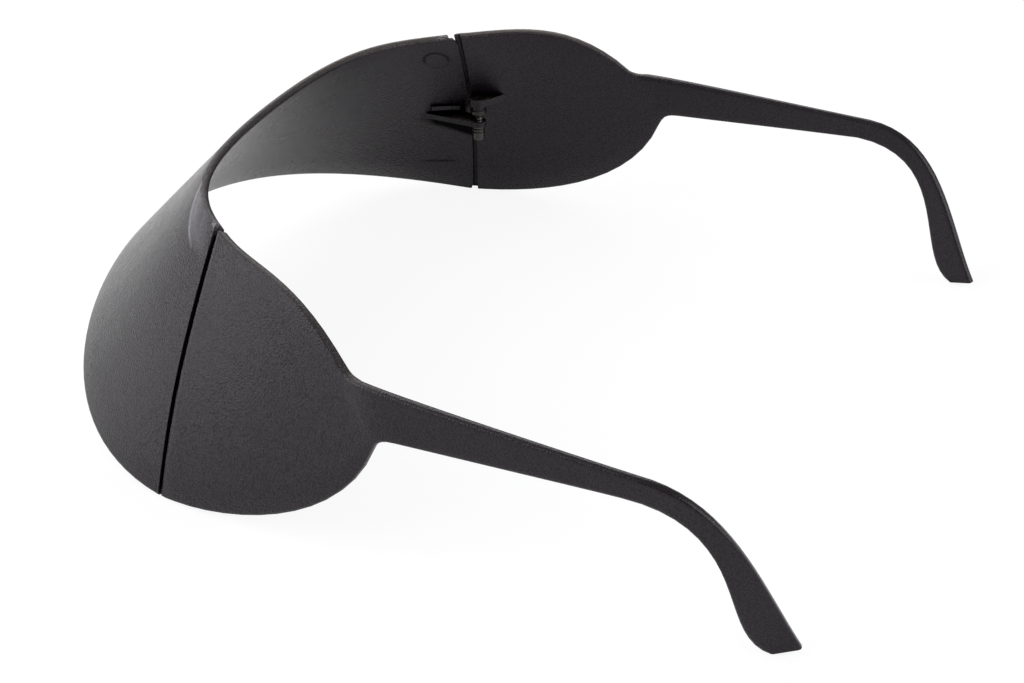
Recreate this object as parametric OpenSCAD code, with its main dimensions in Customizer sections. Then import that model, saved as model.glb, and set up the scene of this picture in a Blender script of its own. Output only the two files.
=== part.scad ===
// Flight training view limiter: a wraparound shield that hides the windows and leaves the
// instruments in sight. One moulded front, and two side shields that each carry a temple
// and an ear hook and fold inwards on a small screw hinge.
// Millimetres. X is across the face, the wearer's left is +X, the front faces -Y, Z is up.
// The part stands as it does on a table, and Z = 0 is that table.

/* [Front shield] */
// Thickness of the moulded wall
wall = 1.8; // [1.5:0.1:2.2]
// Radius on the moulded edges
edge_r = 0.5; // [0.3:0.1:0.6]
// Height of the upper edge at the seams
shield_h = 49; // [46:0.5:54]
// Rise of the upper edge at the middle
crown = 1.4; // [0:0.1:3]
// Height of the arch in the lower edge at the middle
arch_h = 17.5; // [12:0.5:22]
// Reach of the upper edge ahead of the seams at the middle
upper_reach = 12; // [11:0.2:20]
// Reach of the lower edge ahead of the seams at the middle
lower_reach = 43.8; // [40:0.2:52]
// Half the width between the seams along the upper edge
seam_top_x = 51.8; // [50:0.2:54]
// Half the width between the seams along the lower edge
seam_low_x = 73; // [71:0.5:75]
// Bow of the wall's section at the middle, from 0 for a straight one to 1
middle_bow = 0.04; // [0:0.02:0.5]

/* [Seams] */
// Gap that each seam shows outside at the upper edge
gap_top = 1.5; // [1.3:0.1:1.8]
// Gap that each seam shows outside at the lower edge
gap_low = 0.5; // [0.4:0.1:0.8]
// Gap that each seam shows inside
gap_inside = 1.1; // [1:0.1:1.3]
// How far the front's lip reaches in under the leaf's lip at the upper edge
lap_top = 0.2; // [0.1:0.05:0.3]
// How far it reaches in under the leaf's lip at the lower edge
lap_low = 0.3; // [0.2:0.05:0.4]
// Distance between the two lips, through the wall
lip_play = 0.24; // [0.2:0.02:0.3]
// Depth of the rounding on the outer corner of the leaf's lip
lip_round = 0.4; // [0.2:0.05:0.5]
// Length of that rounding
lip_round_len = 0.7; // [0.4:0.05:0.8]
// How far the top of each seam stands behind its foot
seam_rake = 4.9; // [3.5:0.1:6.5]

/* [Side shields] */
// Length of the leaf from the seam to the temple
leaf_len = 47.6; // [42:0.2:54]
// Half the width across the temples
temple_x = 76; // [74:0.5:79]
// Height of the temple's upper edge where it leaves the leaf
temple_z = 37.4; // [35:0.2:41]
// Width of the temple where it leaves the leaf
temple_root_w = 9.5; // [8:0.1:12]
// Width of the temple where it meets the ear hook
temple_end_w = 4.6; // [4:0.1:6.5]
// Fall of the temple's upper edge along its length
temple_fall = 3.6; // [2:0.2:5]

/* [Ear hooks] */
// Distance from the seams to the bend of the ear hook
bend_y = 98; // [90:0.5:104]
// Distance from the seams to the back of the tip
tip_y = 126.8; // [118:0.2:132]
// Width of the tip
tip_w = 6.2; // [4.5:0.1:7]
// How far the tip leans in from the temple
tip_lean = 6; // [3:0.5:9]

/* [Hinges] */
// Half the distance between the hinge axes
axis_x = 60.9; // [60:0.1:61.8]
// Distance of the hinge axes behind the seams
axis_y = 7.6; // [7.4:0.1:7.9]
// Diameter of the hinge screw
screw_d = 2; // [1.6:0.1:2.2]
// Diameter of the screw's head
head_d = 3.2; // [3:0.1:3.4]
// Thickness of the screw's head
head_t = 0.6; // [0.4:0.1:0.7]
// Diameter of the eye in the lug
lug_eye_d = 4.6; // [4.4:0.1:4.8]
// Diameter of the eye in the gusset
gusset_eye_d = 3.6; // [3.4:0.1:4.2]
// Height of the top of the lug
lug_top = 30.4; // [30:0.1:31.4]
// Thickness of the lug plate
lug_t = 1.4; // [1.2:0.1:1.6]
// Length of the lug's root along the leaf
lug_len = 8; // [6:0.5:10]
// Length of the round boss under the lug
boss_h = 1.3; // [1.2:0.1:2]
// Diameter of the boss
boss_d = 3.2; // [3:0.1:3.6]
// Diameter of the collar nut
collar_d = 3.8; // [3.4:0.1:4.2]
// Thickness of the collar nut
collar_t = 1.2; // [0.8:0.1:1.4]
// Bare thread between the collar nut and the gusset
thread_show = 1.8; // [1.4:0.1:2.4]
// Thickness of the gusset plate
gusset_t = 1.2; // [1:0.1:1.5]
// Length of the gusset's root along the front shield
gusset_len = 9; // [7:0.5:12]
// Diameter of the lower nut
nut_d = 2.9; // [2.7:0.1:3.2]
// Length of the lower nut
nut_h = 3.5; // [2.6:0.1:3.8]
// Length of the rib above the gusset
rib_len = 7; // [6:0.5:10]
// Depth of the rib
rib_depth = 1.4; // [1:0.1:2]
// Thickness of the rib
rib_t = 1; // [0.8:0.1:1.2]
// Play between the screw and the lug, on each side
play = 0.05; // [0.03:0.01:0.08]
// Clearance of the nuts and the gusset on the thread
seat = 0.02; // [0.01:0.01:0.04]

/* [Hidden] */
black = [0.10, 0.10, 0.11];
dark_grey = [0.16, 0.16, 0.17];
steel = [0.55, 0.55, 0.57];

function mix(a, b, t) = a + (b - a) * t;
function unit(v) = v / norm(v);
function flip(list) = [for (i = [len(list) - 1 : -1 : 0]) list[i]];
function bez(p, t) =
    pow(1 - t, 3) * p[0] + 3 * pow(1 - t, 2) * t * p[1]
    + 3 * (1 - t) * t * t * p[2] + pow(t, 3) * p[3];
// A point on a chain of curves, one curve for each whole step of s
function chain(c, s) =
    let (k = min(floor(s), len(c) - 1))
    bez(c[k], s - k);

// Middle of the wall where the upper and the lower edge cross the left seam, and the way
// each edge runs there in plan
seam_top = [seam_top_x, seam_rake, shield_h];
seam_low = [seam_low_x, 0, 0];
top_dir = unit([9.8, 10.9, 0]);
low_dir = unit([5, 22, 0]);

// The left half of the front shield's edges, from the middle to the seam
front_top = [
    [0, -upper_reach, shield_h + crown],
    [34.5, -upper_reach, shield_h + crown],
    seam_top - 14.8 * top_dir,
    seam_top - gap_top / 2 * top_dir
];
front_low = [
    [0, -lower_reach, arch_h],
    [31, -lower_reach, arch_h],
    seam_low - 33.4 * low_dir + [0, 0, 3],
    seam_low - gap_low / 2 * low_dir
];

// The side shield's edges, in four curves each: leaf, root of the temple, temple, ear hook
root_top = [temple_x - 3.4, leaf_len - 6.4, temple_z + 1];
temple_top = [temple_x - 1.7, leaf_len - 2.6, temple_z];
bend_top = [temple_x + 1.5, bend_y, temple_z - temple_fall];
tip_top = [temple_x - tip_lean + 0.3, tip_y, 1.6];
side_top = [
    [
        seam_top + gap_top / 2 * top_dir,
        seam_top + 16 * top_dir - [0, 0, 0.6],
        [temple_x - 10.2, leaf_len - 20, shield_h + 3],
        root_top
    ],
    [
        root_top,
        root_top + [0.6, 1, -0.75],
        temple_top - [0.7, 1.8, 0],
        temple_top
    ],
    [
        temple_top,
        temple_top + [1.5, 9, -0.6],
        bend_top - [0.8, 17, -1.1],
        bend_top
    ],
    [
        bend_top,
        bend_top + [-0.3, 16.8, -1],
        [temple_x - 3.5, tip_y - 7.6, 14.5],
        tip_top
    ]
];
armpit_z = temple_z - temple_root_w;
root_low = [temple_x - 0.1, leaf_len + 0.4, armpit_z - 3.2];
temple_low = [temple_x + 0.1, leaf_len + 5.3, armpit_z - 0.1];
bend_low = [temple_x + 1.6, bend_y - 2.4, bend_top[2] - temple_end_w];
tip_low = [tip_top[0] + 1.6, tip_y - tip_w + 1.1, 0];
side_low = [
    [
        seam_low + gap_low / 2 * low_dir,
        seam_low + 17 * low_dir,
        [temple_x + 0.5, leaf_len - 6.2, 6.4],
        root_low
    ],
    [
        root_low,
        root_low + [0.1, 1, 2.4],
        temple_low - [0.1, 2.9, 0.1],
        temple_low
    ],
    [
        temple_low,
        temple_low + [0.3, 14, 0.5],
        bend_low - [0.4, 14, 0.4],
        bend_low
    ],
    [
        bend_low,
        bend_low + [-1.2, 23.5, -0.8],
        [tip_low[0] + 2.7, tip_y - 14.8, 3],
        tip_low
    ]
];

// A section of the wall, which bows outwards by bow[0] in X and bow[1] in Y
function section(top, low, bow, v) =
    let (
        down = bez([0, 0.4, 0.6, 1], v),
        out = [for (b = bow) bez([0, mix(0.4, 0.58, b), mix(0.6, 0.8, b), 1], v)]
    )
    [mix(top[0], low[0], out[0]), mix(top[1], low[1], out[1]), mix(top[2], low[2], down)];

// Middle face of each moulding's wall, with v from 0 at the upper edge to 1 at the lower.
// On the front shield u runs from -1 at the right seam to 1 at the left seam.
// On the left side shield it runs from 0 at the seam to 4 at the tip.
front = [-1, 1];
side = [0, 4];
function face(part, u, v) = part == front ? front_face(u, v) : side_face(u, v);
function front_face(u, v) =
    let (
        bow = [mix(middle_bow, 1, u * u), mix(middle_bow, 0, u * u)],
        p = section(bez(front_top, abs(u)), bez(front_low, abs(u)), bow, v)
    )
    [(u < 0 ? -1 : 1) * p[0], p[1], p[2]];
function side_face(u, v) =
    section(chain(side_top, u), chain(side_low, u), [sqrt(max(0, 1 - u)), 0], v);

// Unit normal of a middle face, out of the wall
nudge = 0.002;
function outward(part, u, v) =
    let (
        behind = max(u - nudge, part[0]),
        ahead = min(u + nudge, part[1]),
        above = max(v - nudge, 0),
        below = min(v + nudge, 1)
    )
    unit(cross(
        face(part, u, below) - face(part, u, above),
        face(part, ahead, v) - face(part, behind, v)
    ));

// Stations down one side of a section, as [distance down, depth in the wall]
function stations(len, n) =
    let (bevel = edge_r * (1 - cos(45)))
    concat(
        [[0, edge_r], [bevel, bevel]],
        [for (i = [0 : n]) [mix(edge_r, len - edge_r, i / n), 0]],
        [[len - bevel, bevel], [len, edge_r]]
    );

// A closed ring round the wall, which may be moved along it, with its outer or its inner
// face sunk. The move is given at the upper and at the lower edge. The ring may also stop
// short of both edges.
function ring(part, u, n, move = [0, 0], outer = 0, inner = 0, short = 0) =
    let (
        len = norm(face(part, u, 0) - face(part, u, 1)),
        edge = 1 - (outer + inner) / wall
    )
    [
        for (way = [1, -1]) for (q = way > 0 ? stations(len, n) : flip(stations(len, n)))
            let (
                v = mix(short, len - short, q[0] / len) / len,
                depth = edge * q[1] + (way > 0 ? outer : inner),
                along = mix(move[0] * top_dir, move[1] * low_dir, v)
            )
            face(part, u, v) + way * (wall / 2 - depth) * outward(part, u, v)
            + [u < 0 ? -along[0] : along[0], along[1], along[2]]
    ];

// The seam is a lap: the outer half of the leaf's edge is a lip, and it lies over a lip on
// the inner half of the front's edge. The leaf swings its lip outwards, clear of the front.
// Both lips stop a little short of the upper and lower edges. The end of the front's lip
// stops shorter, to clear the folded leaf.
lip_sunk = (wall + lip_play) / 2;
lip_short = 0.12;
lip_corner = 1.4;
// Length over which a face sinks to its lip
step = 0.1;
front_lip = [gap_top + lap_top, gap_low + lap_low];
leaf_lip = [lap_top + gap_inside, lap_low + gap_inside];
front_steps = 60;
front_runs = 10;
side_steps = [14, 5, 13, 18];
side_runs = 8;
front_rings = concat(
    [
        ring(front, -1, front_runs, front_lip, lip_sunk, 0, lip_corner),
        ring(front, -1, front_runs, front_lip / 2, lip_sunk, 0, lip_short),
        ring(front, -1, front_runs, [step, step], lip_sunk, 0, lip_short)
    ],
    [for (i = [0 : front_steps]) ring(front, 2 * i / front_steps - 1, front_runs)],
    [
        ring(front, 1, front_runs, [step, step], lip_sunk, 0, lip_short),
        ring(front, 1, front_runs, front_lip / 2, lip_sunk, 0, lip_short),
        ring(front, 1, front_runs, front_lip, lip_sunk, 0, lip_corner)
    ]
);
side_rings = [
    ring(side, 0, side_runs, [0, 0], lip_round, lip_sunk, 2 * lip_short),
    ring(side, 0, side_runs, lip_round_len / 4 * [1, 1], 0.4 * lip_round, lip_sunk, lip_short),
    ring(side, 0, side_runs, lip_round_len * [1, 1], 0, lip_sunk, lip_short),
    ring(side, 0, side_runs, leaf_lip, 0, lip_sunk, lip_short),
    ring(side, 0, side_runs, leaf_lip + [step, step]),
    for (k = [0 : 3]) for (i = [k > 0 ? 0 : 1 : side_steps[k] - (k < 3 ? 1 : 0)])
        ring(side, k + i / side_steps[k], side_runs)
];

// The origin is on the table, under the middle of the whole outline
function reach(rings, axis) = [for (r = rings) for (p = r) p[axis]];
origin = [
    0,
    (min(reach(front_rings, 1)) + max(reach(side_rings, 1))) / 2,
    min(concat(reach(front_rings, 2), reach(side_rings, 2)))
];

// A closed skin through rings of equal length
module skin(rings) {
    n = len(rings[0]);
    m = len(rings);
    run = [
        for (i = [0 : m - 2]) for (j = [0 : n - 1])
            let (a = i * n + j, b = i * n + (j + 1) % n)
            each [[a, b + n, b], [a, a + n, b + n]]
    ];
    first = [
        for (j = [0 : n / 2 - 2])
            each [[j, n - 2 - j, n - 1 - j], [j, j + 1, n - 2 - j]]
    ];
    last = [for (f = first) [for (k = [2 : -1 : 0]) f[k] + (m - 1) * n]];
    polyhedron(points = [for (r = rings) each r], faces = concat(run, first, last));
}

// The point on a middle face at a given height, and at a given distance behind the seams
function v_at(part, u, z, lo = 0, hi = 1, n = 16) =
    let (v = (lo + hi) / 2)
    n == 0 ? v
    : face(part, u, v)[2] > z ? v_at(part, u, z, v, hi, n - 1)
    : v_at(part, u, z, lo, v, n - 1);
function u_at(part, y, z, lo = 0, hi = 1, n = 16) =
    let (u = (lo + hi) / 2)
    n == 0 ? u
    : face(part, u, v_at(part, u, z))[1] < y ? u_at(part, y, z, u, hi, n - 1)
    : u_at(part, y, z, lo, u, n - 1);
// Plan of a strip of the wall at height z, moved inwards by depth
function wall_line(part, y_from, y_to, z, depth, n) = [
    for (i = [0 : n])
        let (
            u = u_at(part, mix(y_from, y_to, i / n), z),
            v = v_at(part, u, z),
            p = face(part, u, v) - depth * outward(part, u, v)
        )
        [p[0], p[1]]
];

axis = [axis_x, axis_y];
// Where a straight edge from point p meets the eye, on its left or right hand side
function tangent(p, r, hand) =
    let (d = p - axis, turn = atan2(d[1], d[0]) + hand * acos(r / norm(d)))
    axis + r * [cos(turn), sin(turn)];

// A flat plate from a strip of the wall to an eye round the hinge axis
module plate(root, eye_d, z_low, t) {
    first = root[0];
    last = root[len(root) - 1];
    translate([0, 0, z_low])
        linear_extrude(t)
            polygon(concat(
                root,
                [tangent(last, eye_d / 2, 1), axis, tangent(first, eye_d / 2, -1)]
            ));
    round_bar(eye_d, z_low, z_low + t);
}
module round_bar(d, z_low, z_high) {
    translate([axis[0], axis[1], z_low])
        cylinder(d = d, h = z_high - z_low, $fn = 48);
}
// A hole past both faces of what it goes through
module hole(d, z_low, z_high) {
    round_bar(d, z_low - 1, z_high + 1);
}

// Levels of the hinge, from the top down
lug_z = lug_top - lug_t;
boss_z = lug_z - boss_h;
collar_top = boss_z - play;
collar_z = collar_top - collar_t;
gusset_top = collar_z - thread_show;
gusset_z = gusset_top - gusset_t;
nut_top = gusset_z - seat;
nut_z = nut_top - nut_h;
head_floor = lug_top - head_t - play;
screw_z = nut_z + 0.4;
rib_z = gusset_top + 1.4;
// What the gusset, the lug and the rib keep clear of the seam
root_margin = 1.2;
lug_margin = 1.7;
rib_margin = 0.5;

module seat_at_origin() {
    translate(-origin)
        children();
}
module right_hand() {
    mirror([1, 0, 0])
        children();
}

// The gusset holds the screw, and the rib above it stiffens the wall beside the seam
module bracket() {
    end_y = face(front, 1, v_at(front, 1, gusset_z))[1] - root_margin;
    plate(wall_line(front, end_y - gusset_len, end_y, gusset_z + gusset_t / 2, 0, 6),
        gusset_eye_d, gusset_z, gusset_t);
    rib_end = face(front, 1, v_at(front, 1, rib_z))[1] - rib_margin;
    translate([0, 0, rib_z])
        linear_extrude(rib_t)
            polygon(concat(
                wall_line(front, rib_end - rib_len, rib_end, rib_z + rib_t / 2, 0, 6),
                flip(wall_line(front, rib_end - rib_len + 0.4, rib_end - 0.4,
                    rib_z + rib_t / 2, wall / 2 + rib_depth, 6))
            ));
}
module front_shield() {
    color(black)
        seat_at_origin()
            difference() {
                union() {
                    skin(front_rings);
                    bracket();
                    right_hand()
                        bracket();
                }
                hole(screw_d + 2 * seat, gusset_z, gusset_top);
                right_hand()
                    hole(screw_d + 2 * seat, gusset_z, gusset_top);
            }
}

// The lug turns on the screw's shank, between its head and the collar nut
module side_shield() {
    start_y = face(side, 0, v_at(side, 0, lug_z))[1] + lug_margin;
    color(black)
        seat_at_origin()
            difference() {
                union() {
                    skin(side_rings);
                    plate(wall_line(side, start_y, start_y + lug_len, lug_z + lug_t / 2, 0, 5),
                        lug_eye_d, lug_z, lug_t);
                    round_bar(boss_d, boss_z, lug_z + lug_t / 2);
                }
                hole(screw_d + 2 * play, boss_z, lug_top);
                round_bar(head_d + 4 * play, head_floor - play, lug_top + 0.2);
            }
}
module left_side_shield() {
    side_shield();
}
module right_side_shield() {
    right_hand()
        side_shield();
}

module hinge_screw() {
    color(steel)
        seat_at_origin() {
            round_bar(screw_d, screw_z, lug_top - play - head_t / 2);
            round_bar(head_d, head_floor, lug_top - play);
        }
}
module collar_nut() {
    color(dark_grey)
        seat_at_origin()
            difference() {
                round_bar(collar_d, collar_z, collar_top);
                hole(screw_d + 2 * seat, collar_z, collar_top);
            }
}
module lower_nut() {
    color(steel)
        seat_at_origin()
            difference() {
                round_bar(nut_d, nut_z, nut_top);
                hole(screw_d + 2 * seat, nut_z, nut_top);
            }
}

front_shield();
left_side_shield();
right_side_shield();
hinge_screw();  // left_hinge_screw
right_hand() hinge_screw();  // right_hinge_screw
collar_nut();  // left_collar_nut
right_hand() collar_nut();  // right_collar_nut
lower_nut();  // left_lower_nut
right_hand() lower_nut();  // right_lower_nut
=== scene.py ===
"""Looks of the flight training view limiter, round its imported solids. Metres, in the part's frame.

The front shield and the two side shields keep their solids and get their moulded finish. The
screws and nuts of the two hinges are made again here, with thread, slot and chamfers.
"""
import math

import bmesh
import bpy
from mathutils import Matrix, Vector


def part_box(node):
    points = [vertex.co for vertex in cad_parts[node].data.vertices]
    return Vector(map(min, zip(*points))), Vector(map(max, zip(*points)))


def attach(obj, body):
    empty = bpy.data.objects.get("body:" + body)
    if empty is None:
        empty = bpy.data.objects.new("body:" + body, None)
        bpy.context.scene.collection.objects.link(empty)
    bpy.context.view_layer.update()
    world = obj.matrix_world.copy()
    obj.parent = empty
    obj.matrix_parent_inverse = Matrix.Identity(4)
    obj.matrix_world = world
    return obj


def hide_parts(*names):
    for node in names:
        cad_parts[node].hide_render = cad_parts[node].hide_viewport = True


MM = 0.001
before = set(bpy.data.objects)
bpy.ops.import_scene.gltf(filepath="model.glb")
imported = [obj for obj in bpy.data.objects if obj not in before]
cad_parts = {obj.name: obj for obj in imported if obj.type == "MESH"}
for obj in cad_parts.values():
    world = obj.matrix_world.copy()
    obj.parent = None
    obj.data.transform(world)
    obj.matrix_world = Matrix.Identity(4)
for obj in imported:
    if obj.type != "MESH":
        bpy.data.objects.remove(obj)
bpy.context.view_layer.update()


# Materials

def linear(hex_colour):
    """An sRGB hex value such as 1c1b1d as linear red, green, blue and alpha."""
    parts = [int(hex_colour[i:i + 2], 16) / 255 for i in (0, 2, 4)]
    return [c / 12.92 if c <= 0.04045 else ((c + 0.055) / 1.055) ** 2.4 for c in parts] + [1.0]


def add_node(tree, kind, inputs=(), out=0, **settings):
    """Adds a node with its settings and links, and returns one of its outputs.

    inputs is a list in the order of the node's sockets, or a dict by their names. Each entry is
    a value to set, or another node's output to join.
    """
    node = tree.nodes.new(kind)
    for name, value in settings.items():
        setattr(node, name, value)
    pairs = inputs.items() if isinstance(inputs, dict) else enumerate(inputs)
    for socket, value in pairs:
        if isinstance(value, bpy.types.NodeSocket):
            tree.links.new(value, node.inputs[socket])
        else:
            node.inputs[socket].default_value = value
    return node.outputs[out] if node.outputs else None


def new_material(name):
    material = bpy.data.materials.new(name)
    material.use_nodes = True
    material.node_tree.nodes.clear()
    return material, material.node_tree


# Black ABS. Grains and marks are in mm
GRAIN_MM = 0.34             # craters of the spark-eroded mould, a little coarse so that they show
GRAIN_DEPTH_MM = 0.08
CRATER_EDGE = 0.9           # distance from a crater's middle to its edge, in grains
WORN_DEPTH_MM = 0.03        # what is left of the grain on the temples and hooks
WORN_BACK_MM = (0, 20)      # it fades between these places, from the front back
SPARKLE = (0.36, 0.22)      # mirrored light at the bottom and at the edge of a crater
MOTTLE_MM = 7.0             # slow change of sheen, where the moulding cooled unevenly
SHEEN = (0.24, 0.29)        # roughness at the mottle's two ends
FLAT_UP = (0.62, 0.95)      # how far a face has to look up or down to count as a rim
RIM_HIGHLIGHT = (0.4, 0.14)        # how strong the highlight painted on the rims is, right side and left side
RIM_HIGHLIGHT_ACROSS_MM = (-20, 40)
RIM_HIGHLIGHT_BACK_MM = (10, 2)    # the painted highlight fades out here, before the temples
JOINT_SHADE_MM = 2.0              # how far round a point the painted shade in a joint reaches
JOINT_SHADE_OPEN = (0.2, 0.65)    # how open the place is where the painted shade starts and ends
SHELF_SHADE_MM = 5.0              # the same two, for the painted shade on flat tops that stand out from a wall
SHELF_SHADE_OPEN = (0.55, 0.85)


def in_metres(pair):
    return [value * MM for value in pair]


def rim_highlight(tree, across, back, level):
    """A highlight painted on the rims of the shields, stronger on the right side."""
    amount = add_node(tree, "ShaderNodeMapRange", [across, *in_metres(RIM_HIGHLIGHT_ACROSS_MM), *RIM_HIGHLIGHT])
    reach = add_node(tree, "ShaderNodeMapRange", [back, *in_metres(RIM_HIGHLIGHT_BACK_MM)])
    lit_rim = add_node(tree, "ShaderNodeMath", [level, amount], operation="MULTIPLY")
    return add_node(tree, "ShaderNodeMath", [lit_rim, reach], operation="MULTIPLY")


def free_of_painted_shade(tree, level):
    """Painted shade in narrow joints and at the roots of ribs. 0 is full of it, 1 is free of it.

    Painted shade also darkens the flat tops of lugs, gussets and ribs towards the wall that they
    stand on.
    """
    joint_shade = add_node(tree, "ShaderNodeAmbientOcclusion", {"Distance": JOINT_SHADE_MM * MM}, "AO",
                     samples=8)
    joint_shade = add_node(tree, "ShaderNodeMapRange", [joint_shade, *JOINT_SHADE_OPEN])
    shelf_shade = add_node(tree, "ShaderNodeAmbientOcclusion", {"Distance": SHELF_SHADE_MM * MM}, "AO",
                     samples=8)
    shelf_shade = add_node(tree, "ShaderNodeMapRange", [shelf_shade, *SHELF_SHADE_OPEN, 1.0, 0.0])
    shelf_shade = add_node(tree, "ShaderNodeMath", [shelf_shade, level], operation="MULTIPLY")
    shelf_shade = add_node(tree, "ShaderNodeMath", [1.0, shelf_shade], operation="SUBTRACT")
    return add_node(tree, "ShaderNodeMath", [joint_shade, shelf_shade], operation="MULTIPLY")


def black_abs(name, marks=None):
    """Black ABS out of a spark-eroded mould: dull face on, and a grey sheen where it turns away.

    marks adds the marks of one mould: their height in mm, their painted highlight and scuff, and how
    dark they are with painted shadow.
    """
    material, tree = new_material(name)
    place = add_node(tree, "ShaderNodeTexCoord", out="Object")
    across, back, up = add_node(tree, "ShaderNodeSeparateXYZ", [place]).node.outputs
    facing = add_node(tree, "ShaderNodeNewGeometry", out="True Normal")
    facing = add_node(tree, "ShaderNodeSeparateXYZ", [facing]).node.outputs
    level = add_node(tree, "ShaderNodeMath", [facing["Z"]], operation="ABSOLUTE")
    level = add_node(tree, "ShaderNodeMapRange", [level, *FLAT_UP])

    # Overlapping craters, worn down by hands on the temples and hooks
    grain = add_node(tree, "ShaderNodeTexVoronoi", {"Vector": place, "Scale": 1 / (GRAIN_MM * MM)},
                     "Distance")
    grain = add_node(tree, "ShaderNodeMapRange", [grain, 0.0, CRATER_EDGE])
    depth = add_node(tree, "ShaderNodeMapRange",
                     [back, *in_metres(WORN_BACK_MM), GRAIN_DEPTH_MM, WORN_DEPTH_MM])
    relief = add_node(tree, "ShaderNodeMath", [grain, depth], operation="MULTIPLY")
    sparkle = add_node(tree, "ShaderNodeMapRange", [grain, 0.25, 0.75, *SPARKLE])
    mottle = add_node(tree, "ShaderNodeTexNoise",
                      {"Vector": place, "Scale": 1 / (MOTTLE_MM * MM), "Detail": 3.0,
                       "Roughness": 0.55})
    rough = add_node(tree, "ShaderNodeMapRange", [mottle, 0.3, 0.7, *SHEEN])

    tone = add_node(tree, "ShaderNodeMix",
                    {"Factor": grain, "A": linear("110d11"), "B": linear("191419")},
                    "Result", data_type="RGBA")
    # Painted highlight on faces that look up or down, the rims
    tone = add_node(tree, "ShaderNodeMix",
                    {"Factor": rim_highlight(tree, across, back, level), "A": tone,
                     "B": linear("7a736c")},
                    "Result", data_type="RGBA")
    unshaded_and_unmarked = free_of_painted_shade(tree, level)
    # The mould's marks, with painted highlight and painted shadow among them
    if marks is not None:
        height, highlight_and_scuff, dark_marks_and_shadow = marks(tree, place, back, up, facing["Y"])
        relief = add_node(tree, "ShaderNodeMath", [relief, height], operation="ADD")
        # Paler with the crease's painted highlight and the scuff
        tone = add_node(tree, "ShaderNodeMix", {"Factor": highlight_and_scuff, "A": tone, "B": linear("8a8890")},
                        "Result", data_type="RGBA")
        undarkened = add_node(tree, "ShaderNodeMath", [1.0, dark_marks_and_shadow], operation="SUBTRACT")
        unshaded_and_unmarked = add_node(tree, "ShaderNodeMath", [unshaded_and_unmarked, undarkened], operation="MULTIPLY")
    # Painted shade and the dark marks pull the tone towards near black
    tone = add_node(tree, "ShaderNodeMix", {"Factor": unshaded_and_unmarked, "A": linear("040404"), "B": tone},
                    "Result", data_type="RGBA")
    # The painted shade also dims the mirrored light
    mirrored = add_node(tree, "ShaderNodeMath", [sparkle, unshaded_and_unmarked], operation="MULTIPLY")
    bump = add_node(tree, "ShaderNodeBump", {"Strength": 1.0, "Distance": MM, "Height": relief})
    surface = add_node(tree, "ShaderNodeBsdfPrincipled",
                       {"Base Color": tone, "Roughness": rough, "IOR": 1.5,
                        "Specular IOR Level": mirrored, "Specular Tint": linear("fff9fe"),
                        "Normal": bump})
    add_node(tree, "ShaderNodeOutputMaterial", {"Surface": surface})
    return material


# Marks of the mould beside each seam of the front shield, in mm. They are the same on both
# sides, so a radius of 0 across drops that axis. The crease is a quarter of an ellipse round
# the seam's upper corner, outside. The round ejector mark is inside.
# The crease gets a painted highlight as well as its bump.
CREASE_CENTRE = (0, -40.8, 49)
CREASE_RADII = (0, 7.8, 6)
CREASE_RISE_MM = 1.9
CREASE_HIGHLIGHT_LINE = (0.09, 0.8)           # the painted highlight line's half width over the radii, and its strength
SWOLLEN_HIGHLIGHT = 0.34
CREASE_BACK_MM = (-42.8, -46.0)     # the crease comes in between these places, towards the front
SWOLLEN_BACK_MM = (-38.5, -44.0)    # and so does the highlight painted on the wall above it
EJECTOR_CENTRE = (0, -40.4, 42.3)
EJECTOR_RADII = (0, 2.2, 2.5)
EJECTOR_DEPTH_MM = 0.06
EJECTOR_LINE = 0.22                 # the ring's half width over its radii
EJECTOR_DARK = 0.85
FLOW_CENTRE = (0, -47.5, 8.6)
FLOW_RADII = (0, 6, 0.6)            # a flow line of the plastic, level and faint
GUSSET_SHADOW_TOP_MM = 23.4                  # the painted shadow under the gusset starts here
GUSSET_SHADOW_PLACE = (0, -48, 21.4)         # and ends on a line through here that falls towards the seam
GUSSET_SHADOW_FALL = 0.5
GUSSET_SHADOW_BACK_MM = (-50, -46)
GUSSET_SHADOW_DARK = 0.95
SCUFF_CENTRE = (0, -38.0, 49.4)
SCUFF_RADII = (0, 1.8, 1.0)
SPECKS_MM = 0.5


def scaled_distance(tree, place, centre, radii):
    """Distance from a centre, over the radius along each axis. A radius of 0 drops its axis."""
    scales = [1 / (r * MM) if r else 0 for r in radii]
    off = add_node(tree, "ShaderNodeVectorMath", [place, in_metres(centre)], operation="SUBTRACT")
    off = add_node(tree, "ShaderNodeVectorMath", [off, scales], operation="MULTIPLY")
    return add_node(tree, "ShaderNodeVectorMath", [off], "Value", operation="LENGTH")


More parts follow.
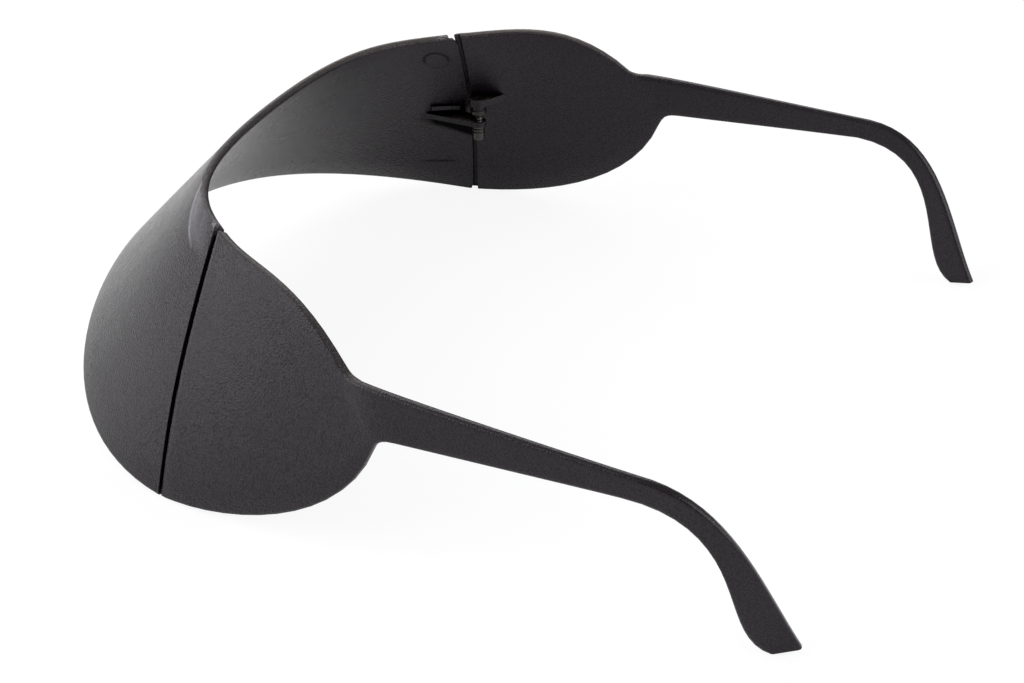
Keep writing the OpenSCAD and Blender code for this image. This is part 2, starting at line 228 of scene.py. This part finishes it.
def crease_and_highlight(tree, place, back, outside):
    """The wall rises from the crease towards the corner, and a highlight is painted along the crease
    and on the wall above it.
    """
    corner = scaled_distance(tree, place, CREASE_CENTRE, CREASE_RADII)
    fading = add_node(tree, "ShaderNodeMapRange", [back, *in_metres(CREASE_BACK_MM)])
    fading = add_node(tree, "ShaderNodeMath", [fading, outside], operation="MULTIPLY")
    swell = add_node(tree, "ShaderNodeMapRange", [corner, 0.0, 1.0, CREASE_RISE_MM, 0.0])
    swell = add_node(tree, "ShaderNodeMath", [swell, fading], operation="MULTIPLY")
    off = add_node(tree, "ShaderNodeMath", [corner, 1.0], operation="SUBTRACT")
    off = add_node(tree, "ShaderNodeMath", [off], operation="ABSOLUTE")
    highlight_line = add_node(tree, "ShaderNodeMapRange", [off, 0.0, *CREASE_HIGHLIGHT_LINE, 0.0])
    highlight_line = add_node(tree, "ShaderNodeMath", [highlight_line, fading], operation="MULTIPLY")
    swollen_highlight = add_node(tree, "ShaderNodeMapRange", [corner, 0.7, 1.0, SWOLLEN_HIGHLIGHT, 0.0])
    near = add_node(tree, "ShaderNodeMapRange", [back, *in_metres(SWOLLEN_BACK_MM)])
    for part in (near, outside):
        swollen_highlight = add_node(tree, "ShaderNodeMath", [swollen_highlight, part], operation="MULTIPLY")
    return swell, add_node(tree, "ShaderNodeMath", [highlight_line, swollen_highlight], operation="MAXIMUM")


def ejector_ring(tree, place, up):
    """The ring that the ejector's end left, deeper at its upper half."""
    ring = scaled_distance(tree, place, EJECTOR_CENTRE, EJECTOR_RADII)
    ring = add_node(tree, "ShaderNodeMath", [ring, 1.0], operation="SUBTRACT")
    ring = add_node(tree, "ShaderNodeMath", [ring], operation="ABSOLUTE")
    ring = add_node(tree, "ShaderNodeMapRange", [ring, 0.0, EJECTOR_LINE, 1.0, 0.0])
    height = EJECTOR_CENTRE[2]
    upper = add_node(tree, "ShaderNodeMapRange", [up, *in_metres((height - 1, height)), 0.3, 1.0])
    return add_node(tree, "ShaderNodeMath", [ring, upper], operation="MULTIPLY")


def gusset_shadow(tree, back, up):
    """A shadow painted on the wall under the gusset, where no light gets in from above."""
    centre, low = GUSSET_SHADOW_PLACE[1:]
    slant = add_node(tree, "ShaderNodeMath", [back, GUSSET_SHADOW_FALL, up], operation="MULTIPLY_ADD")
    middle = low + centre * GUSSET_SHADOW_FALL
    painted_shadow = add_node(tree, "ShaderNodeMapRange", [slant, *in_metres((middle - 0.6, middle + 0.6))])
    below = add_node(tree, "ShaderNodeMapRange", [up, *in_metres((GUSSET_SHADOW_TOP_MM + 0.2, GUSSET_SHADOW_TOP_MM))])
    near = add_node(tree, "ShaderNodeMapRange", [back, *in_metres(GUSSET_SHADOW_BACK_MM), 0.0, GUSSET_SHADOW_DARK])
    for part in (below, near):
        painted_shadow = add_node(tree, "ShaderNodeMath", [painted_shadow, part], operation="MULTIPLY")
    return painted_shadow


def rim_scuff(tree, place):
    """The rim beside the seam, scuffed by the side shield in small specks."""
    scuff = scaled_distance(tree, place, SCUFF_CENTRE, SCUFF_RADII)
    scuff = add_node(tree, "ShaderNodeMapRange", [scuff, 0.3, 1.0, 0.7, 0.0])
    specks = add_node(tree, "ShaderNodeTexNoise",
                      {"Vector": place, "Scale": 1 / (SPECKS_MM * MM), "Detail": 1.0})
    specks = add_node(tree, "ShaderNodeMapRange", [specks, 0.45, 0.6])
    return add_node(tree, "ShaderNodeMath", [scuff, specks], operation="MULTIPLY")


def front_marks(tree, place, back, up, facing_back):
    """The marks near the upper corners of the front shield: height in mm, painted highlight with a
    scuff, and darkness of marks with painted shadow.
    """
    inside = add_node(tree, "ShaderNodeMath", [facing_back, 0.0], operation="GREATER_THAN")
    outside = add_node(tree, "ShaderNodeMath", [1.0, inside], operation="SUBTRACT")
    swell, highlight_and_scuff = crease_and_highlight(tree, place, back, outside)
    highlight_and_scuff = add_node(tree, "ShaderNodeMath", [highlight_and_scuff, rim_scuff(tree, place)], operation="MAXIMUM")
    ring = ejector_ring(tree, place, up)
    groove = add_node(tree, "ShaderNodeMath", [ring, inside], operation="MULTIPLY")
    height = add_node(tree, "ShaderNodeMath", [groove, -EJECTOR_DEPTH_MM, swell],
                      operation="MULTIPLY_ADD")
    flow = scaled_distance(tree, place, FLOW_CENTRE, FLOW_RADII)
    flow = add_node(tree, "ShaderNodeMapRange", [flow, 0.4, 1.0, 0.6, 0.0])
    dark_marks_and_shadow = add_node(tree, "ShaderNodeMath", [ring, EJECTOR_DARK, flow], operation="MULTIPLY_ADD")
    painted_shadow = gusset_shadow(tree, back, up)
    dark_marks_and_shadow = add_node(tree, "ShaderNodeMath", [dark_marks_and_shadow, painted_shadow], operation="MAXIMUM")
    dark_marks_and_shadow = add_node(tree, "ShaderNodeMath", [dark_marks_and_shadow, inside], operation="MULTIPLY")
    return height, highlight_and_scuff, dark_marks_and_shadow


RINGS_MM = 0.6              # rings of the lathe's tool
SPOTS_MM = 0.5              # patches of oxide, a little coarse so that they show


def turned_steel():
    """Bright steel turned on a lathe: a soft glint, with faint rings from the tool."""
    material, tree = new_material("turned_steel")
    place = add_node(tree, "ShaderNodeTexCoord", out="Object")
    rings = add_node(tree, "ShaderNodeTexWave",
                     {"Vector": place, "Scale": 1 / (RINGS_MM * MM), "Distortion": 1.0,
                      "Detail": 2.0},
                     "Fac", wave_type="BANDS", bands_direction="Z")
    rough = add_node(tree, "ShaderNodeMapRange", [rings, 0.0, 1.0, 0.32, 0.44])
    surface = add_node(tree, "ShaderNodeBsdfPrincipled",
                       {"Base Color": linear("454341"), "Metallic": 1.0, "Roughness": rough})
    add_node(tree, "ShaderNodeOutputMaterial", {"Surface": surface})
    return material


def blackened_steel():
    """Blackened steel: a thin dark oxide that leaves a dull grey sheen."""
    material, tree = new_material("blackened_steel")
    place = add_node(tree, "ShaderNodeTexCoord", out="Object")
    spots = add_node(tree, "ShaderNodeTexNoise",
                     {"Vector": place, "Scale": 1 / (SPOTS_MM * MM), "Detail": 2.0})
    rough = add_node(tree, "ShaderNodeMapRange", [spots, 0.0, 1.0, 0.38, 0.55])
    surface = add_node(tree, "ShaderNodeBsdfPrincipled",
                       {"Base Color": linear("3a3836"), "Metallic": 1.0, "Roughness": rough})
    add_node(tree, "ShaderNodeOutputMaterial", {"Surface": surface})
    return material


# Mouldings

WELD_MM = 0.002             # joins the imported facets' corners again, so that they shade as one
CORNER_DEGREES = 50         # a moulded corner is at least as sharp as this
SHARP_DEGREES = 32          # the same for the turned steel pieces


def finish_moulding(node, material):
    """Smooths an imported moulding, keeps its moulded corners and gives it its finish."""
    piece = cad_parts[node]
    mesh = piece.data
    if "custom_normal" in mesh.attributes:
        mesh.attributes.remove(mesh.attributes["custom_normal"])
    for polygon in mesh.polygons:
        polygon.use_smooth = True
    weld = piece.modifiers.new("weld", "WELD")
    weld.merge_threshold = WELD_MM * MM
    corners = piece.modifiers.new("corners", "EDGE_SPLIT")
    corners.split_angle = math.radians(CORNER_DEGREES)
    mesh.materials.clear()
    mesh.materials.append(material)


# Hinge hardware, in mm

SHANK_RADIUS_MM = 1.0
BORE_RADIUS_MM = 1.02
PITCH_MM = 0.8              # spacing of the rings that show on the screw
THREAD_MM = 0.22            # depth of the thread
HEAD_MM = 0.6               # height of the screw's head
SLOT_HALF_MM = 0.28
HEAD_EDGE_MM = 0.12
COLLAR_EDGE_MM = 0.22
NUT_EDGE_MM = 0.25
NUT_PLAIN_MM = 1.8          # smooth lower end of the nut, below its grooves
GROOVE_MM = 0.2             # half the width of a groove
GROOVE_DEPTH_MM = 0.22
TOP_EDGE_MM = 0.1
CENTRE_HOLE_MM = 0.0002     # keeps a turned disc from closing on its axis


def round_point(centre, radius, angle, z):
    return (centre[0] + radius * math.cos(angle), centre[1] + radius * math.sin(angle), z)


def lathe(mesh, profile, centre, sides=48):
    """Turns a closed profile of [radius, height] points round a vertical axis."""
    rings = []
    for i in range(sides):
        a = 2 * math.pi * i / sides
        rings.append([mesh.verts.new(round_point(centre, r, a, z)) for r, z in profile])
    for i in range(sides):
        here, there = rings[i], rings[(i + 1) % sides]
        for j in range(len(profile)):
            k = (j + 1) % len(profile)
            mesh.faces.new((here[j], there[j], there[k], here[k]))


def join_rings(mesh, rings):
    """Walls from each ring to the next, and a lid on the first and the last."""
    for lower, upper in zip(rings, rings[1:]):
        for i in range(len(lower)):
            k = (i + 1) % len(lower)
            mesh.faces.new((lower[i], lower[k], upper[k], upper[i]))
    mesh.faces.new(list(reversed(rings[0])))
    mesh.faces.new(rings[-1])


def threaded_rod(mesh, centre, radius, low, high, sides=40, rows_a_turn=12):
    """A closed rod whose skin rises and falls along a helix."""
    pitch = PITCH_MM * MM
    rows = int((high - low) / pitch * rows_a_turn)
    rings = []
    for j in range(rows + 1):
        z = low + (high - low) * j / rows
        ring = []
        for i in range(sides):
            turn = i / sides
            r = radius - THREAD_MM * MM * abs(2 * ((z / pitch - turn) % 1) - 1)
            ring.append(mesh.verts.new(round_point(centre, r, 2 * math.pi * turn, z)))
        rings.append(ring)
    join_rings(mesh, rings)


def slotted_head(mesh, centre, radius, low, high, steps=20):
    """A flat round head with a straight slot across it, as two half lands on a disc."""
    floor = low + 0.5 * (high - low)
    edge = HEAD_EDGE_MM * MM
    hole = CENTRE_HOLE_MM * MM
    lathe(mesh, [(hole, low), (radius, low), (radius, floor), (hole, floor)], centre)
    for side in (-1, 1):
        rows = []
        for inset, z in ((0, floor - 0.02 * MM), (0, high - edge), (edge, high)):
            r = radius - inset
            start = math.asin((SLOT_HALF_MM * MM + inset * 0.6) / r)
            row = []
            for i in range(steps + 1):
                a = side * (start + (math.pi - 2 * start) * i / steps)
                row.append(mesh.verts.new(round_point(centre, r, a, z)))
            rows.append(row)
        join_rings(mesh, rows)


def make_piece(name, build, material, node):
    """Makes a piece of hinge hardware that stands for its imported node."""
    mesh = bmesh.new()
    build(mesh)
    bmesh.ops.recalc_face_normals(mesh, faces=mesh.faces)
    data = bpy.data.meshes.new(name)
    mesh.to_mesh(data)
    mesh.free()
    data.materials.append(material)
    piece = bpy.data.objects.new(name, data)
    bpy.context.scene.collection.objects.link(piece)
    for polygon in data.polygons:
        polygon.use_smooth = True
    data.set_sharp_from_angle(angle=math.radians(SHARP_DEGREES))
    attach(piece, "front")
    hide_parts(node)
    return piece


def hinge_hardware(side, steel, dark_steel):
    """The screw, its round collar and its barrel nut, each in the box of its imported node."""
    screw_low, screw_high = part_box(f"{side}_hinge_screw")
    collar_low, collar_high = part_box(f"{side}_collar_nut")
    nut_low, nut_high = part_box(f"{side}_lower_nut")
    centre = ((screw_low.x + screw_high.x) / 2, (screw_low.y + screw_high.y) / 2)
    bore_r = BORE_RADIUS_MM * MM

    def screw(mesh):
        head_r = (screw_high.x - screw_low.x) / 2
        head_low = screw_high.z - HEAD_MM * MM
        threaded_rod(mesh, centre, SHANK_RADIUS_MM * MM, screw_low.z, head_low + 0.1 * MM)
        slotted_head(mesh, centre, head_r, head_low, screw_high.z)

    def collar(mesh):
        r = (collar_high.x - collar_low.x) / 2
        low, high, c = collar_low.z, collar_high.z, COLLAR_EDGE_MM * MM
        lathe(mesh, [(bore_r, low), (r - c, low), (r, low + c), (r, high - c), (r - c, high),
                     (bore_r, high)], centre)

    def barrel(mesh):
        r = (nut_high.x - nut_low.x) / 2
        low, high, c = nut_low.z, nut_high.z, NUT_EDGE_MM * MM
        top, groove = TOP_EDGE_MM * MM, GROOVE_MM * MM
        profile = [(bore_r, low), (r - c, low), (r, low + c)]
        z = low + NUT_PLAIN_MM * MM
        while z + 2 * groove < high - top:
            profile += [(r, z), (r - GROOVE_DEPTH_MM * MM, z + groove), (r, z + 2 * groove)]
            z += PITCH_MM * MM
        profile += [(r, high - top), (r - top, high), (bore_r, high)]
        lathe(mesh, profile, centre)

    make_piece(f"{side}_slotted_screw", screw, steel, f"{side}_hinge_screw")
    make_piece(f"{side}_round_collar", collar, dark_steel, f"{side}_collar_nut")
    make_piece(f"{side}_barrel_nut", barrel, steel, f"{side}_lower_nut")


# Stage

WHITE = (1, 1, 1, 1)
MIRRORED = 0.365            # how much of the white round the part its sheen gives back
TENT_LIGHT = 0.03           # what the white round the part lights it with, besides the windows
FLOOR_RADIUS = 3.0
PAPER_LIFT = (0.88, 0.98)   # what keeps the paper white to the camera, near and far
PAPER_NEAR_AND_FAR = (0.4, 1.4)


def white_floor():
    """A pale sheet that keeps the part's shadow and reads as white to the camera."""
    mesh = bpy.data.meshes.new("floor")
    r = FLOOR_RADIUS
    mesh.from_pydata([(-r, -r, 0), (r, -r, 0), (r, r, 0), (-r, r, 0)], [], [(0, 1, 2, 3)])
    floor = bpy.data.objects.new("floor", mesh)
    bpy.context.scene.collection.objects.link(floor)
    material, tree = new_material("white_paper")
    path = add_node(tree, "ShaderNodeLightPath").node.outputs
    sheet = add_node(tree, "ShaderNodeMix",
                     {"Factor": path["Is Camera Ray"], "A": linear("e6e6e7"),
                      "B": linear("6a6a6b")},
                     "Result", data_type="RGBA")
    paper = add_node(tree, "ShaderNodeBsdfDiffuse", {"Color": sheet})
    place = add_node(tree, "ShaderNodeTexCoord", out="Object")
    away = add_node(tree, "ShaderNodeVectorMath", [place], "Value", operation="LENGTH")
    lift = add_node(tree, "ShaderNodeMapRange", [away, *PAPER_NEAR_AND_FAR, *PAPER_LIFT])
    seen = add_node(tree, "ShaderNodeMath", [path["Is Camera Ray"], path["Is Transmission Ray"]],
                    operation="ADD")
    lift = add_node(tree, "ShaderNodeMath", [seen, lift], operation="MULTIPLY")
    strength = add_node(tree, "ShaderNodeMath", [path["Is Glossy Ray"], MIRRORED, lift],
                        operation="MULTIPLY_ADD")
    glow = add_node(tree, "ShaderNodeEmission", {"Color": WHITE, "Strength": strength})
    both = add_node(tree, "ShaderNodeAddShader", [paper, glow])
    add_node(tree, "ShaderNodeOutputMaterial", {"Surface": both})
    mesh.materials.append(material)


def white_world():
    """White where the camera sees it, and dimmer in the part's sheen, as on the floor."""
    world = bpy.data.worlds.new("light_tent")
    bpy.context.scene.world = world
    world.use_nodes = True
    tree = world.node_tree
    tree.nodes.clear()
    path = add_node(tree, "ShaderNodeLightPath").node.outputs
    seen = add_node(tree, "ShaderNodeMath", [path["Is Camera Ray"], path["Is Transmission Ray"]],
                    operation="ADD")
    seen = add_node(tree, "ShaderNodeMapRange", [seen, 0.0, 1.0, TENT_LIGHT, 1.0])
    strength = add_node(tree, "ShaderNodeMath",
                        [path["Is Glossy Ray"], MIRRORED - TENT_LIGHT, seen],
                        operation="MULTIPLY_ADD")
    glow = add_node(tree, "ShaderNodeBackground", {"Color": WHITE, "Strength": strength})
    add_node(tree, "ShaderNodeOutputWorld", {"Surface": glow})


def softbox(name, place, size, radiance):
    """A square-cornered window of light that faces the part. Its radiance is 1 for white."""
    lamp = bpy.data.lights.new(name, "AREA")
    lamp.shape = "RECTANGLE"
    lamp.size, lamp.size_y = size
    lamp.energy = radiance * math.pi * size[0] * size[1]
    holder = bpy.data.objects.new(name, lamp)
    bpy.context.scene.collection.objects.link(holder)
    holder.location = place
    holder.rotation_euler = Vector(place).to_track_quat("Z", "Y").to_euler()


SENSOR_MM = 36
FOCAL_PIXELS = 1960                     # of the photograph's lens
PHOTO_PIXELS = 1024                     # the photograph's width
CAMERA_PLACE = (0.33173, 0.14326, 0.21933)
CAMERA_BACK = (0.7899, 0.3387, 0.5115)  # the direction from the part's middle to the camera


def photo_camera():
    """The photograph's view, from the part's left, behind and above."""
    data = bpy.data.cameras.new("camera")
    data.sensor_width = SENSOR_MM
    data.lens = FOCAL_PIXELS / PHOTO_PIXELS * SENSOR_MM
    camera = bpy.data.objects.new("camera", data)
    bpy.context.scene.collection.objects.link(camera)
    camera.location = CAMERA_PLACE
    camera.rotation_euler = Vector(CAMERA_BACK).to_track_quat("Z", "Y").to_euler()
    bpy.context.scene.camera = camera


WINDOWS = (
    # Name, place, width and height, radiance
    ("low_window", (-0.15, -0.9, 0.35), (1.4, 0.6), 0.45),
    ("side_window", (0.65, -0.75, 0.45), (1.0, 0.8), 3.2),
    ("high_window", (0.0, -0.7, 0.9), (1.2, 0.8), 1.2),
    ("back_window", (0.0, 0.9, 0.5), (1.4, 0.8), 2.7),
    ("far_window", (-0.95, -0.4, 0.6), (0.8, 0.6), 2.0),
    ("overhead", (0.45, -0.25, 1.0), (1.1, 1.1), 0.5),
)

photo_camera()
finish_moulding("front_shield", black_abs("moulded_black_abs_front", front_marks))
side_abs = black_abs("moulded_black_abs_sides")
steel = turned_steel()
dark_steel = blackened_steel()
for side in ("left", "right"):
    finish_moulding(f"{side}_side_shield", side_abs)
    hinge_hardware(side, steel, dark_steel)
white_floor()
white_world()
for window in WINDOWS:
    softbox(*window)
bpy.context.scene.view_settings.view_transform = "Standard"
